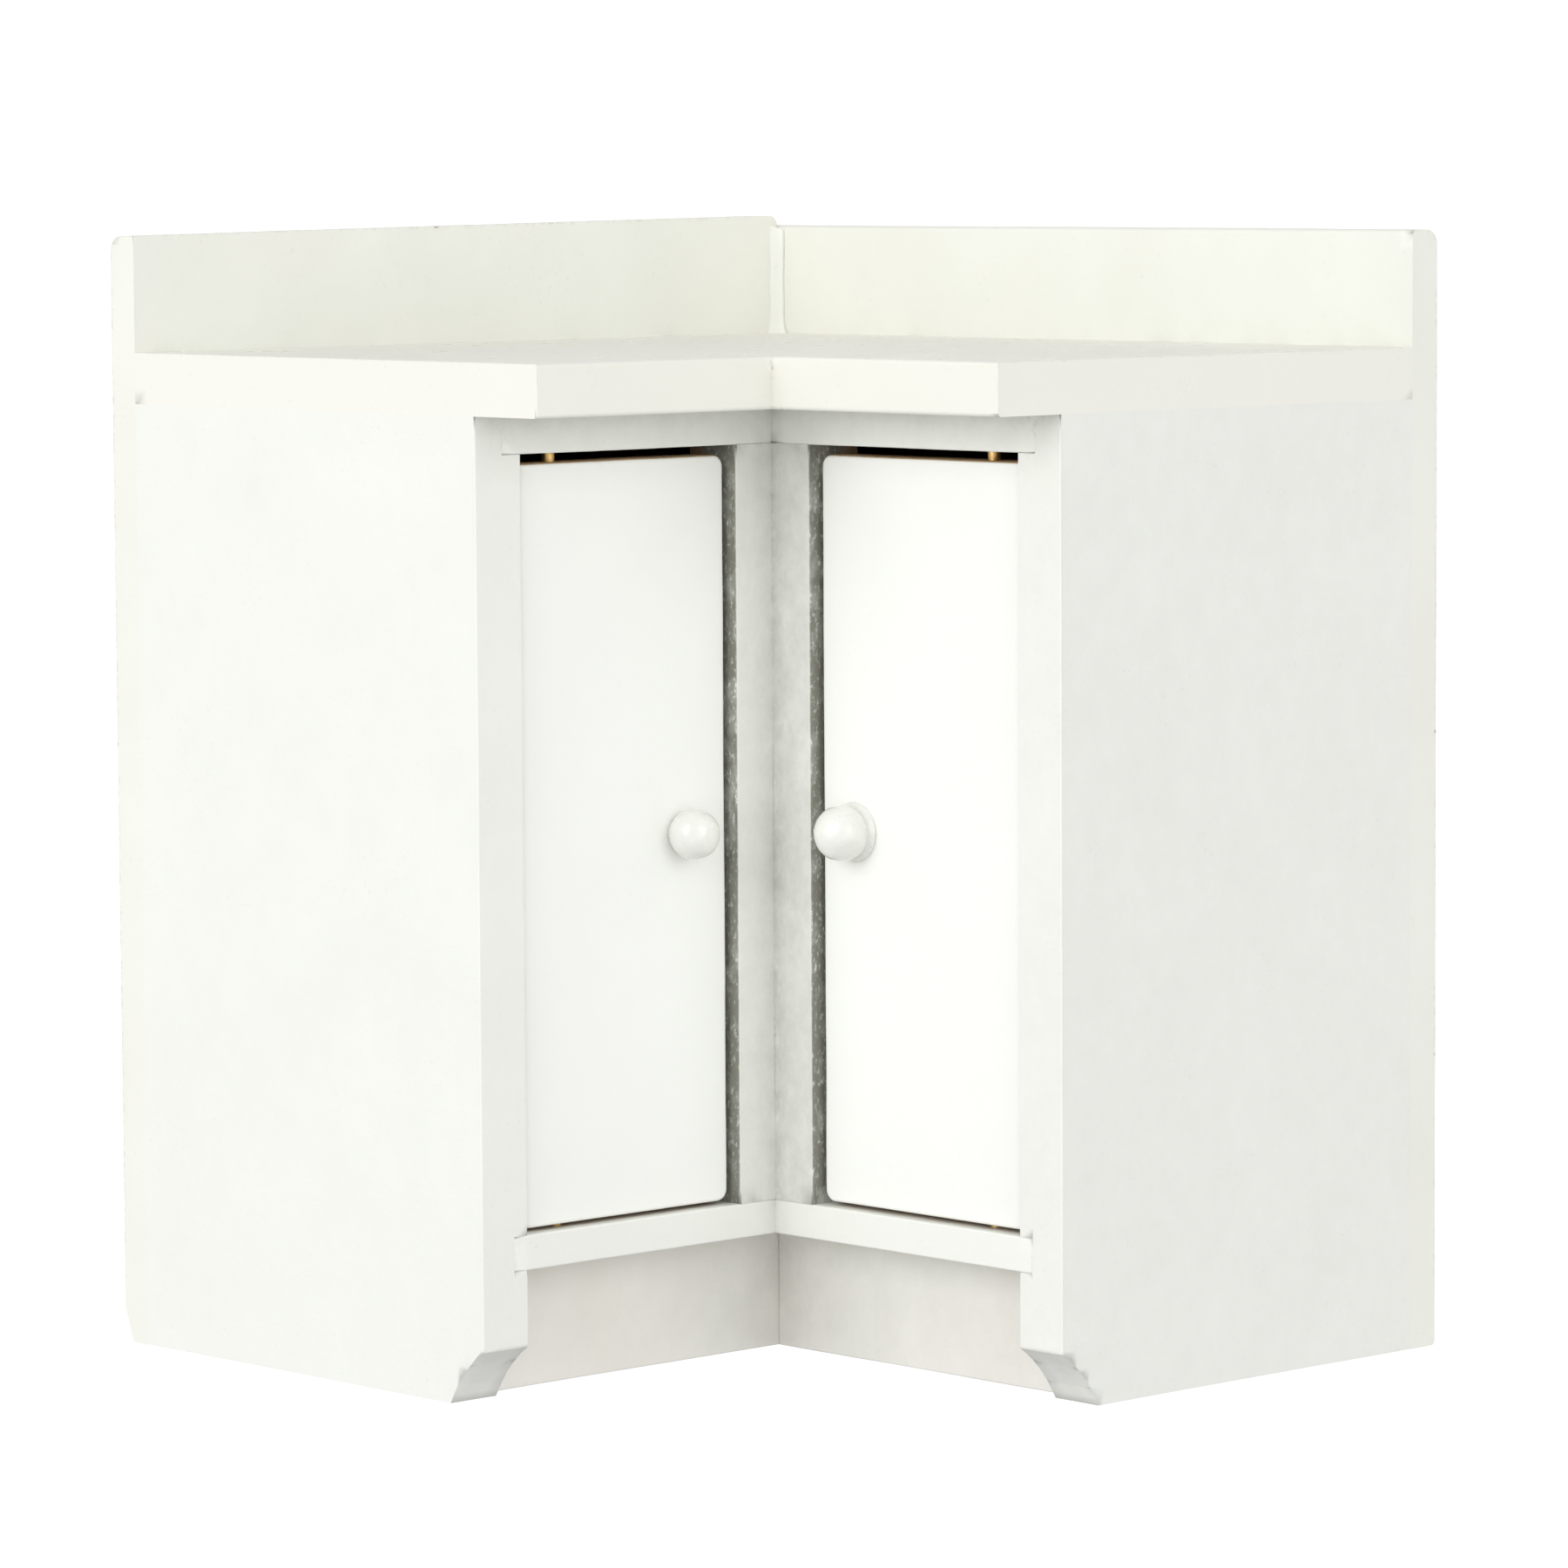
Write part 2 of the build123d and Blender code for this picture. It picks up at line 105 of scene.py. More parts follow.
def make_camera():
    """Camera at the photograph's viewing angle: a long lens, a little above the worktop."""
    forward = Vector((-math.cos(CAMERA_HEADING) * math.cos(CAMERA_PITCH),
                      math.sin(CAMERA_HEADING) * math.cos(CAMERA_PITCH),
                      math.sin(CAMERA_PITCH)))
    right = Vector((math.sin(CAMERA_HEADING), math.cos(CAMERA_HEADING), 0))
    up = right.cross(forward)
    tilted_right = math.cos(CAMERA_ROLL) * right + math.sin(CAMERA_ROLL) * up
    tilted_up = math.cos(CAMERA_ROLL) * up - math.sin(CAMERA_ROLL) * right
    axes = Matrix((tilted_right, tilted_up, -forward)).transposed()
    data = bpy.data.cameras.new("camera")
    data.sensor_width = CAMERA_SENSOR
    data.lens = CAMERA_LENS
    data.clip_start = 0.01
    data.clip_end = 10
    camera = bpy.data.objects.new("camera", data)
    camera.matrix_world = Matrix.Translation(CAMERA_PLACE) @ axes.to_4x4()
    bpy.context.scene.collection.objects.link(camera)
    bpy.context.scene.camera = camera


make_camera()


# ---------------------------------------------------------------- node graphs
class NodeGraph:
    """Short forms for making and joining the nodes of a material or of the world."""

    def __init__(self, tree):
        self.tree = tree

    def node(self, kind, settings=None, **inputs):
        made = self.tree.nodes.new(kind)
        for key, value in (settings or {}).items():
            setattr(made, key, value)
        for key, value in inputs.items():
            self.put(made.inputs[key.replace("_", " ")], value)
        return made

    def put(self, socket, value):
        if isinstance(value, bpy.types.NodeSocket):
            self.tree.links.new(value, socket)
        else:
            socket.default_value = value

    def ramp(self, value, low, high, to_low=0.0, to_high=1.0):
        """Takes low..high to to_low..to_high, and holds it there beyond them."""
        made = self.node("ShaderNodeMapRange", {"clamp": True}, Value=value)
        for key, number in (("From Min", low), ("From Max", high), ("To Min", to_low),
                            ("To Max", to_high)):
            made.inputs[key].default_value = number
        return made.outputs["Result"]

    def math(self, operation, first, second):
        made = self.node("ShaderNodeMath", {"operation": operation})
        self.put(made.inputs[0], first)
        self.put(made.inputs[1], second)
        return made.outputs[0]

    def product(self, *factors):
        result = factors[0]
        for factor in factors[1:]:
            result = self.math("MULTIPLY", result, factor)
        return result


class Shader(NodeGraph):
    """The nodes of one material on the object."""

    def __init__(self, name):
        self.material = bpy.data.materials.new(name)
        self.material.use_nodes = True
        super().__init__(self.material.node_tree)
        self.surface = self.tree.nodes["Principled BSDF"]
        self.place = self.node("ShaderNodeTexCoord").outputs["Object"]

    def attribute(self, name):
        return self.node("ShaderNodeAttribute", {"attribute_name": name}).outputs["Fac"]

    def stretched(self, scale, offset=(0, 0, 0)):
        return self.node("ShaderNodeMapping", Vector=self.place, Scale=scale,
                         Location=offset).outputs["Vector"]

    def noise(self, feature, detail=2.0, roughness=0.5, place=None):
        """Noise with features about this many metres across."""
        made = self.node("ShaderNodeTexNoise", Vector=place or self.place, Scale=1 / feature,
                         Detail=detail, Roughness=roughness)
        return made.outputs["Fac"]

    def mix(self, amount, first, second):
        """A colour between two colours, each a socket or a tuple of red, green and blue."""
        made = self.node("ShaderNodeMix", {"data_type": "RGBA"})
        self.put(made.inputs["Factor"], amount)
        for name, value in (("A", first), ("B", second)):
            socket = [s for s in made.inputs if s.name == name and s.type == "RGBA"][0]
            self.put(socket, (*value, 1) if isinstance(value, tuple) else value)
        return [s for s in made.outputs if s.type == "RGBA"][0]

    def bump(self, height, depth, under=None):
        made = self.node("ShaderNodeBump", Height=height, Distance=depth, Strength=1.0)
        if under is not None:
            self.put(made.inputs["Normal"], under)
        return made.outputs["Normal"]

    def finish(self, color, roughness, normal, **constants):
        self.put(self.surface.inputs["Base Color"], color)
        self.put(self.surface.inputs["Roughness"], roughness)
        self.put(self.surface.inputs["Normal"], normal)
        for key, value in constants.items():
            self.surface.inputs[key.replace("_", " ")].default_value = value
        return self.material


# ---------------------------------------------------------------- materials
PALE_WOOD = (0.56, 0.40, 0.25)
DARK_WOOD = (0.36, 0.23, 0.12)
WOOD_THROUGH_PAINT = (0.80, 0.68, 0.57)
CHIPPED_TO_WOOD = (0.40, 0.27, 0.15)
RUBBED = (0.50, 0.49, 0.44)
DUST = (0.42, 0.42, 0.38)
# Grey of the painted shade in gaps, inner corners and recesses
PAINTED_SHADE = (0.255, 0.255, 0.215)
UPRIGHT_GRAIN = (1, 1, 0.08)
GRAIN_ALONG_Y = (1, 0.08, 1)


def bare_wood(s, grain):
    """Colour and height of unpainted limewood, with its grain along one axis."""
    fine = s.noise(0.8 * MM, 4, 0.6, s.stretched(grain))
    broad = s.noise(4 * MM, 2, 0.5, s.stretched(grain))
    figure = s.math("ADD", s.product(fine, 0.6), s.product(broad, 0.4))
    return s.mix(s.ramp(figure, 0.35, 0.68), PALE_WOOD, DARK_WOOD), fine


def coat_of_paint(s, white, shade, mottle):
    """Uneven white, in broad clouds and smaller blotches."""
    cloud = s.noise(9 * MM, 3, 0.55)
    blotch = s.noise(2.2 * MM, 3, 0.6, s.stretched((1, 1, 1), (0.02, 0.05, 0.01)))
    color = s.mix(s.ramp(cloud, 0.3, 0.72), white, shade)
    return s.mix(s.ramp(blotch, 0.40, 0.85, 0.0, mottle), color, shade)


def add_dust(s, color, place, specks):
    """Small grey specks of dust and rough grain caught in the paint."""
    speck = s.ramp(s.noise(0.33 * MM, 1, 0.4, place), 0.66, 0.76)
    area = s.ramp(s.noise(6 * MM, 2, 0.5, place), 0.45, 0.65)
    return s.mix(s.product(speck, area, 0.22 * specks), color, DUST)


def add_thin_patches(s, color, thin):
    """The warm wood that shows faintly through a thin coat."""
    patch = s.ramp(s.noise(14 * MM, 2, 0.45, s.stretched((1, 1, 0.8), (0.4, 0, 0))), 0.4, 0.7)
    return s.mix(s.product(patch, thin), color, WOOD_THROUGH_PAINT)


def add_wear(s, color, place, wear):
    """Paint pulled thin and chipped along the arrises."""
    edge = s.attribute("edge")
    grit = s.noise(0.55 * MM, 3, 0.65)
    rubbed = s.product(s.ramp(edge, 0.78, 1.0), s.ramp(grit, 0.46, 0.66))
    color = s.mix(s.product(rubbed, 0.45 * wear), color, RUBBED)
    area = s.ramp(s.noise(3.5 * MM, 2, 0.5, place), 0.62, 0.70)
    chip = s.product(s.ramp(edge, 0.82, 0.95), area, s.ramp(grit, 0.56, 0.62))
    return s.mix(s.product(chip, wear), color, CHIPPED_TO_WOOD)


def add_painted_shade(s, color, place):
    """Painted shade: rough grey with white flecks in the gaps, the inner corners, under the worktop
    and on recessed boards, and the height of its rough texture.
    """
    painted_shade = s.attribute("painted_shade")
    coarse = s.noise(0.32 * MM, 3, 0.7, s.stretched((1, 1, 0.55), (0.1, 0.2, 0.7)))
    fleck = s.product(s.ramp(coarse, 0.54, 0.68, 0.0, 0.65), s.ramp(painted_shade, 0.3, 0.9, 0.25, 1.0))
    smear = s.ramp(s.noise(1.8 * MM, 4, 0.65, place), 0.3, 0.7, 0.65, 1.3)
    color = s.mix(s.product(painted_shade, s.math("SUBTRACT", smear, fleck)), color, PAINTED_SHADE)
    return color, s.product(coarse, painted_shade)


def paint(name, white, shade, roughness=0.42, peel=0.020, specks=0.5, mottle=0.15, thin=0.0,
          grain=UPRIGHT_GRAIN, wear=0.6):
    """Sprayed paint on wood: orange peel, faint specks, thin edges, and bare wood where unpainted.

    The attribute "edge" is 1 on a board's arrises, "bare" is 1 where no paint has reached, and the
    third, of painted shade, is 1 where rough grey stands in for the shade in gaps, inner corners and
    recesses.
    "peel" is the depth of the orange peel in millimetres.
    """
    s = Shader(name)
    place = s.stretched((1, 1, 0.8), (0.3, 0.1, 0.2))
    wood, wood_height = bare_wood(s, grain)
    color = coat_of_paint(s, white, shade, mottle)
    color = add_dust(s, color, place, specks)
    if thin:
        color = add_thin_patches(s, color, thin)
    color = add_wear(s, color, place, wear)
    # painted shade in gaps, inner corners and recesses
    color, painted_shade_height = add_painted_shade(s, color, place)
    # overspray that fades into bare wood inside the cupboards
    fade = s.math("ADD", s.attribute("bare"), s.product(s.noise(1.1 * MM, 3, 0.6), 0.3))
    unpainted = s.ramp(fade, 0.45, 0.85)
    color = s.mix(unpainted, color, wood)
    gloss = s.ramp(s.noise(3 * MM, 2, 0.5), 0.3, 0.7, roughness - 0.05, roughness + 0.07)
    gloss = s.math("ADD", gloss, s.product(unpainted, 0.3))
    relief = s.bump(s.noise(1.6 * MM, 2, 0.5), peel * 1.4 * MM)
    relief = s.bump(s.noise(0.42 * MM, 2, 0.55), peel * MM, under=relief)
    relief = s.bump(painted_shade_height, 0.06 * MM, under=relief)
    relief = s.bump(s.product(wood_height, s.ramp(unpainted, 0, 1, 0.1, 1)), 0.03 * MM,
                    under=relief)
    return s.finish(color, gloss, relief, Specular_IOR_Level=0.45, IOR=1.48)


def enamel(name, white, shade):
    """Thick gloss enamel that has pooled on a turned knob."""
    s = Shader(name)
    color = s.mix(s.ramp(s.noise(1.2 * MM, 3, 0.6), 0.35, 0.75), white, shade)
    speck = s.ramp(s.noise(0.18 * MM, 1, 0.4), 0.72, 0.78, 0.0, 0.5)
    color = s.mix(speck, color, (0.55, 0.54, 0.49))
    gloss = s.ramp(s.noise(0.8 * MM, 2, 0.5), 0.3, 0.7, 0.16, 0.30)
    runs = s.bump(s.noise(0.7 * MM, 2, 0.5), 0.05 * MM)
    pits = s.bump(s.noise(0.2 * MM, 2, 0.5), 0.008 * MM, under=runs)
    return s.finish(color, gloss, pits, Coat_Weight=0.5, Coat_Roughness=0.12,
                    Specular_IOR_Level=0.5, IOR=1.5)


def brass(name):
    """Drawn brass wire, dull, with fine rings round it."""
    s = Shader(name)
    tarnish = s.noise(0.9 * MM, 4, 0.65)
    color = s.mix(s.ramp(tarnish, 0.35, 0.7), (0.80, 0.56, 0.24), (0.48, 0.29, 0.10))
    rings = s.noise(0.12 * MM, 2, 0.5, s.stretched((0.2, 0.2, 1)))
    gloss = s.ramp(tarnish, 0.3, 0.7, 0.24, 0.46)
    return s.finish(color, gloss, s.bump(rings, 0.01 * MM), Metallic=1.0)


PAINTS = {
    "carcass_paint": paint("carcass_paint", (0.895, 0.905, 0.857), (0.870, 0.880, 0.832)),
    "back_board_paint": paint("back_board_paint", (0.878, 0.886, 0.822), (0.845, 0.852, 0.785),
                              roughness=0.40, peel=0.014, wear=0.8, thin=0.06),
    "worktop_paint": paint("worktop_paint", (0.882, 0.878, 0.812), (0.868, 0.863, 0.797),
                           roughness=0.32, peel=0.002, grain=GRAIN_ALONG_Y, wear=0.3,
                           mottle=0.0),
    "toe_kick_paint": paint("toe_kick_paint", (0.880, 0.870, 0.825), (0.835, 0.825, 0.775),
                            roughness=0.5, thin=0.16, peel=0.024),
    "door_paint": paint("door_paint", (0.945, 0.952, 0.920), (0.930, 0.937, 0.903),
                        roughness=0.38, peel=0.008, specks=0.2, wear=0.35),
    "filler_bead": paint("filler_bead", (0.878, 0.886, 0.835), (0.850, 0.855, 0.800),
                         roughness=0.38, peel=0.014),
    "knob_enamel": enamel("knob_enamel", (0.870, 0.875, 0.830), (0.830, 0.835, 0.785)),
    "pin_brass": brass("pin_brass"),
}

# ---------------------------------------------------------------- crafted boards
HAND_WAVE = 0.030 * MM        # how far a hand-sanded face wanders from flat
OUTER_INSET = 0.044 * MM      # keeps the waves on outer faces within the overall size
ARRIS_SOFTENING = 0.12 * MM
JOINT_SOFTENING = 0.05 * MM   # where ends are let in flush and painted over
GRID = 1.5 * MM               # spacing of the cuts that let a flat face take a wave
SAME_PLACE = 0.01 * MM        # how near to a plane still counts as in it
MERGED = 0.003 * MM           # how near two cut points are before they become one
COVE_TOP = 4.3 * MM
JOINT_PLANES = (LEFT_BOARD_HIGH.x, BACK_BOARD_LOW.y, WORKTOP_LOW.z)
BORE_REACH = 1.2 * MM         # how near to a pin or stem its bore's rim lies
CORNER_REACH = 0.6 * MM       # how far past the inner faces the room's corners still count
FRONT_DEPTH = 5.1 * MM        # just past the depth of the stiles and rails
STILES_REACH = 4.5 * MM       # just past the width of the inner stiles
NOT_IN_ROOM = -1.0


def held_within(value, low=0.0, high=1.0):
    return min(max(value, low), high)


def unevenness(place):
    """How far a surface at this place stands off the true one, the same for boards that join."""
    broad = noise.noise(place * 90)
    fine = noise.noise(place * 420 + Vector((7, 3, 5)))
    return HAND_WAVE * (broad + 0.45 * fine)


def on_cad_box(place):
    """Whether a place lies on the outside of the model's overall box."""
    return any(abs(place[axis] - bound[axis]) < SAME_PLACE
               for bound in cad_box for axis in range(3))


def inside_cad_box(place):
    """The place itself, or the nearest one within the overall size of the model."""
    return Vector(held_within(place[axis], cad_box[0][axis], cad_box[1][axis])
                  for axis in range(3))


def room_behind_front(place):
    """How deep a place lies behind the fronts, or a negative depth outside the cupboards."""
    within = (LEFT_BOARD_HIGH.x - CORNER_REACH < place.x < RIGHT_END_LOW.x + CORNER_REACH
              and END_HIGH.y - CORNER_REACH < place.y < BACK_BOARD_LOW.y + CORNER_REACH
              and FLOOR_LOW.z < place.z < WORKTOP_LOW.z)
    if not within:
        return NOT_IN_ROOM
    return max(LEFT_FRONT_X - place.x, place.y - RIGHT_FRONT_Y)


def unpainted(place, normal):
    """1 on faces inside the cupboards, where no paint reached, fading out towards the fronts."""
    depth = room_behind_front(place + normal * 0.4 * MM)
    return held_within((depth - 2.0 * MM) / (3.0 * MM))


def door_ends_bare(place, normal):
    """1 on the sawn top and bottom of a door, and on its rubbed upper arris."""
    if normal.z > 0:
        return held_within((normal.z - 0.55) / 0.3)
    return 1.0 if normal.z < -0.9 else 0.0


def painted_shade_in_gaps(place, normal):
    """1 on the side faces of the gaps that look out into the room, where grey is painted in as the
    shade in the gaps.
    """
    if not FLOOR_HIGH.z < place.z < RAIL_LOW.z:
        return 0.0
    across = 0.0
    if (LEFT_FRONT_X - FRONT_DEPTH < place.x < LEFT_FRONT_X + 0.05 * MM
            and END_HIGH.y - 0.1 * MM < place.y < RIGHT_FRONT_Y - 1.5 * MM):
        across = -0.9 * normal.y
    if (RIGHT_FRONT_Y - 0.05 * MM < place.y < RIGHT_FRONT_Y + FRONT_DEPTH
            and LEFT_FRONT_X + 1.5 * MM < place.x < RIGHT_END_LOW.x + 0.1 * MM):
        across = max(across, normal.x)
    return held_within((across - 0.5) / 0.4)


def painted_shade_in_corners(place, normal):
    """Painted shade: grey that fades from the worktop's underside and the inner corners, along the
    toe kicks from the corner, and on the downward-facing foot coves.
    """
    behind_left = LEFT_FRONT_X - place.x
    behind_right = place.y - RIGHT_FRONT_Y
    on_left_front = normal.x > 0.5 and behind_left > -1 * MM
    on_right_front = normal.y < -0.5 and behind_right > -1 * MM
    if not (on_left_front or on_right_front) or place.z > WORKTOP_LOW.z:
        return 0.0
    under_worktop = 0.21 * math.exp(-(WORKTOP_LOW.z - place.z) / (1.3 * MM))
    from_corner = math.hypot(behind_left, behind_right)
    above_floor = place.z - FLOOR_HIGH.z
    in_corner = 0.26 * math.exp(-from_corner / (0.9 * MM))
    if place.z < FLOOR_LOW.z:
        along_toe_kick = max(-behind_left, -behind_right) + TOE_SET_BACK
        in_corner = 0.15 * math.exp(-along_toe_kick / (7 * MM))
    elif above_floor > 0 and from_corner < STILES_REACH:
        in_corner = max(in_corner, 0.2 * math.exp(-above_floor / (0.4 * MM)))
    # painted shade on the downward-facing faces of the coves
    cove = 0.05 if place.z < COVE_TOP and normal.z < -0.2 else 0.0
    return max(under_worktop, in_corner, cove)


def slice_grid(mesh):
    """Cuts a mesh by level and upright planes, so that flat faces can take a gentle wave."""
    low = [min(v.co[axis] for v in mesh.verts) for axis in range(3)]
    high = [max(v.co[axis] for v in mesh.verts) for axis in range(3)]
    for axis in range(3):
        count = int((high[axis] - low[axis]) / GRID)
        for index in range(1, count + 1):
            place, normal = Vector(), Vector()
            place[axis] = low[axis] + (high[axis] - low[axis]) * index / (count + 1)
            normal[axis] = 1
            everything = mesh.verts[:] + mesh.edges[:] + mesh.faces[:]
            bmesh.ops.bisect_plane(mesh, geom=everything, plane_co=place, plane_no=normal,
                                   dist=1e-7)


def middle_of(node):
    low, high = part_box(node)
    return (low + high) / 2


def rims_a_bore(edge):
    """Whether an edge belongs to the mouth or the wall of a hole for a pin or a knob's stem."""
    if edge.calc_length() > 0.6 * MM:
        return False
    middle = (edge.verts[0].co + edge.verts[1].co) / 2
    for arm, out in OUT_OF_FRONT.items():
        pin = middle_of(f"{arm}_top_hinge_pin")
        if math.hypot(middle.x - pin.x, middle.y - pin.y) < BORE_REACH:
            return True
        away = middle - middle_of(f"{arm}_knob")
        if (away - out * away.dot(out)).length < BORE_REACH:
            return True
    return False


def runs_round_a_cove(edge):
    """Whether an edge is one of the short ones that make up the curve of a foot's cove."""
    return all(at_foot(vert.co) for vert in edge.verts) and edge.calc_length() < 1.2 * MM


def at_foot(place):
    """Whether a place is as low as the coves of the feet."""
    return place.z < COVE_TOP + 0.05 * MM


def in_joint_planes(place):
    """Which of the planes where boards meet flush, across X, Y and Z, a place lies in."""
    return [abs(place[axis] - JOINT_PLANES[axis]) < SAME_PLACE for axis in range(3)]


def on_fronts(place):
    """Whether a place lies in the plane of either front."""
    return abs(place.x - LEFT_FRONT_X) < SAME_PLACE or abs(place.y - RIGHT_FRONT_Y) < SAME_PLACE


def shows_flush_joint(edge):
    """Whether an edge lies where two boards meet in one outer face, painted over as one."""
    places = [vert.co for vert in edge.verts]
    if all(on_fronts(place) and abs(place.z - RAIL_LOW.z) < SAME_PLACE for place in places):
        return edge.calc_length() < 3 * MM
    return any(all(on_cad_box(place) and in_joint_planes(place)[axis] for place in places)
               for axis in range(3))


def soften_arrises(mesh, softening):
    """Rounds every sharp edge a little, but for bores, coves and joints that are painted over."""
    sharp = [edge for edge in mesh.edges
             if len(edge.link_faces) == 2 and edge.calc_face_angle(0) > math.radians(35)
             and edge.calc_length() > 0.25 * MM
             and not rims_a_bore(edge) and not shows_flush_joint(edge)
             and not runs_round_a_cove(edge)]
    bmesh.ops.bevel(mesh, geom=sharp, offset=softening, offset_type="OFFSET",
                    segments=3, profile=0.5, affect="EDGES", clamp_overlap=True)


def joins_real_faces(edge):
    """Whether an edge joins two faces, and neither is a sliver with an unsure direction."""
    areas = [face.calc_area() for face in edge.link_faces]
    return len(areas) == 2 and min(areas) > 0.004 * MM**2


def wear_at(vert):
    """1 on an arris where paint wears thin, 0 on flat faces, at the feet and in joints."""
    painted_over = on_cad_box(vert.co) and any(in_joint_planes(vert.co))
    if at_foot(vert.co) or painted_over:
        return 0.0
    angles = [edge.calc_face_angle(0) for edge in vert.link_edges if joins_real_faces(edge)]
    return 1.0 if max(angles, default=0.0) > math.radians(12) else 0.0


def mark_surfaces(mesh, bare, grey_and_shade):
    """Writes the attributes that paint() reads to the corners of the faces."""
    edge_layer = mesh.loops.layers.float.new("edge")
    bare_layer = mesh.loops.layers.float.new("bare")
    painted_shade_layer = mesh.loops.layers.float.new("painted_shade")
    wear = {vert: wear_at(vert) for vert in mesh.verts}
    for face in mesh.faces:
        for loop in face.loops:
            place = loop.vert.co
            painted_shade = max(painted_shade_in_gaps(place, face.normal), painted_shade_in_corners(place, face.normal))
            loop[edge_layer] = wear[loop.vert]
            loop[bare_layer] = bare(place, face.normal)
            # painted shade in gaps and corners, raised by the board's all-over grey, which is partly
            # painted shade too
            loop[painted_shade_layer] = painted_shade + grey_and_shade * (1 - painted_shade)


def make_uneven(mesh, wave):
    """Moves the faces in and out a little, but not out of the planes of the joints."""
    for vert in mesh.verts:
        rise = wave * unevenness(vert.co) - OUTER_INSET * on_cad_box(vert.co)
        held = in_joint_planes(vert.co)
        move = Vector(0 if held[axis] else vert.normal[axis] * rise for axis in range(3))
        vert.co = inside_cad_box(vert.co + move)


def make_piece(mesh, name, material, creases=True):
    """An object from a finished mesh, smooth but for its creases."""
    data = bpy.data.meshes.new(name)
    mesh.to_mesh(data)
    mesh.free()
    data.shade_smooth()
    if creases:
        data.set_sharp_from_angle(angle=math.radians(40))
    data.materials.append(material)
    piece = bpy.data.objects.new(name, data)
    bpy.context.scene.collection.objects.link(piece)
    return piece


def craft_board(node, bare=unpainted, grey_and_shade=0.0, wave=1.0, softening=ARRIS_SOFTENING):
    """A CAD board as it left the maker's hands: soft arrises, faces not quite flat, and paint.

    The argument after "bare" is how grey its paint is all over, partly greyer paint and partly
    painted shade, and "wave" how uneven it is.
    """
    body = frame["nodes"][node]["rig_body"]
    slot = next(row["material_slot"] for row in frame["record"]["subparts"] if row["node"] == node)
    mesh = bmesh.new()
    mesh.from_mesh(frame["nodes"][node].data)
    bmesh.ops.remove_doubles(mesh, verts=mesh.verts, dist=1e-6)
    bmesh.ops.dissolve_limit(mesh, angle_limit=math.radians(0.6), verts=mesh.verts,
                             edges=mesh.edges, use_dissolve_boundaries=False)
    soften_arrises(mesh, softening)
    slice_grid(mesh)
    bmesh.ops.remove_doubles(mesh, verts=mesh.verts, dist=MERGED)
    bmesh.ops.dissolve_degenerate(mesh, edges=mesh.edges, dist=MERGED)
    mesh.normal_update()
    mark_surfaces(mesh, bare, grey_and_shade)
    make_uneven(mesh, wave)
    piece = make_piece(mesh, f"{node}_crafted", PAINTS[slot])
    flat = piece.modifiers.new("flat_faces", "WEIGHTED_NORMAL")
    flat.keep_sharp = True
    flat.weight = 90
    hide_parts(node)
    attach(piece, body)


# Grey over the paint of the ends, rails, stiles and toe kicks: partly greyer paint, partly painted
# shade, most on the stiles in the inner corner and more on the right than the left
STILE_GREY_AND_SHADE = {"left": 0.13, "right": 0.26}
END_GREY_AND_SHADE = {"left": 0.03, "right": 0.06}
craft_board("worktop", wave=0.3)
for board in ("floor_board", "left_back_board", "right_back_board"):
    craft_board(board)
for arm in ("left", "right"):
    craft_board(f"{arm}_end_panel", grey_and_shade=END_GREY_AND_SHADE[arm])
    craft_board(f"{arm}_top_rail", grey_and_shade=0.04, softening=JOINT_SOFTENING)
    craft_board(f"{arm}_inner_stile", grey_and_shade=STILE_GREY_AND_SHADE[arm])
    craft_board(f"{arm}_toe_kick", grey_and_shade=0.3 * STILE_GREY_AND_SHADE[arm])
    craft_board(f"{arm}_door", bare=door_ends_bare)

# ---------------------------------------------------------------- turned knobs
KNOB_STAND_OFF = 1.45 * MM             # ball centre from the door face
FULL_FOOT = (2.24 * MM, 0.5 * MM)      # radius and height of a foot wider than its ball
SMALL_FOOT = (1.38 * MM, 0.3 * MM)
STEM_RADIUS = 0.6 * MM
STEM_LENGTH = 1.9 * MM
KNOB_RINGS = 40
KNOB_SPOKES = 96
ENAMEL_LUMPS = 0.055 * MM
BALL_INSET = 0.02 * MM                 # room for the lumps within the CAD ball


def knob_profile(radius, foot, foot_height):
    """Radii and heights, off the door's face, down a knob from its stem to its tip."""
    points = [(STEM_RADIUS, -STEM_LENGTH), (STEM_RADIUS, -0.05 * MM), (foot - 0.06 * MM, 0.0),
              (foot, 0.08 * MM)]
    start = math.acos((KNOB_STAND_OFF - foot_height) / radius)
    if foot > radius:
        points.append((foot - 0.10 * MM, 0.45 * foot_height))
    for index in range(KNOB_RINGS):
        angle = start + (math.pi - start) * index / KNOB_RINGS
        points.append((radius * math.sin(angle), KNOB_STAND_OFF - radius * math.cos(angle)))
    return points


def join_rings(mesh, rings):
    """Skins a row of closed rings that have the same number of points."""
    for lower, upper in zip(rings, rings[1:]):
        for index in range(len(lower)):
            following = (index + 1) % len(lower)
            mesh.faces.new((lower[index], lower[following], upper[following], upper[index]))


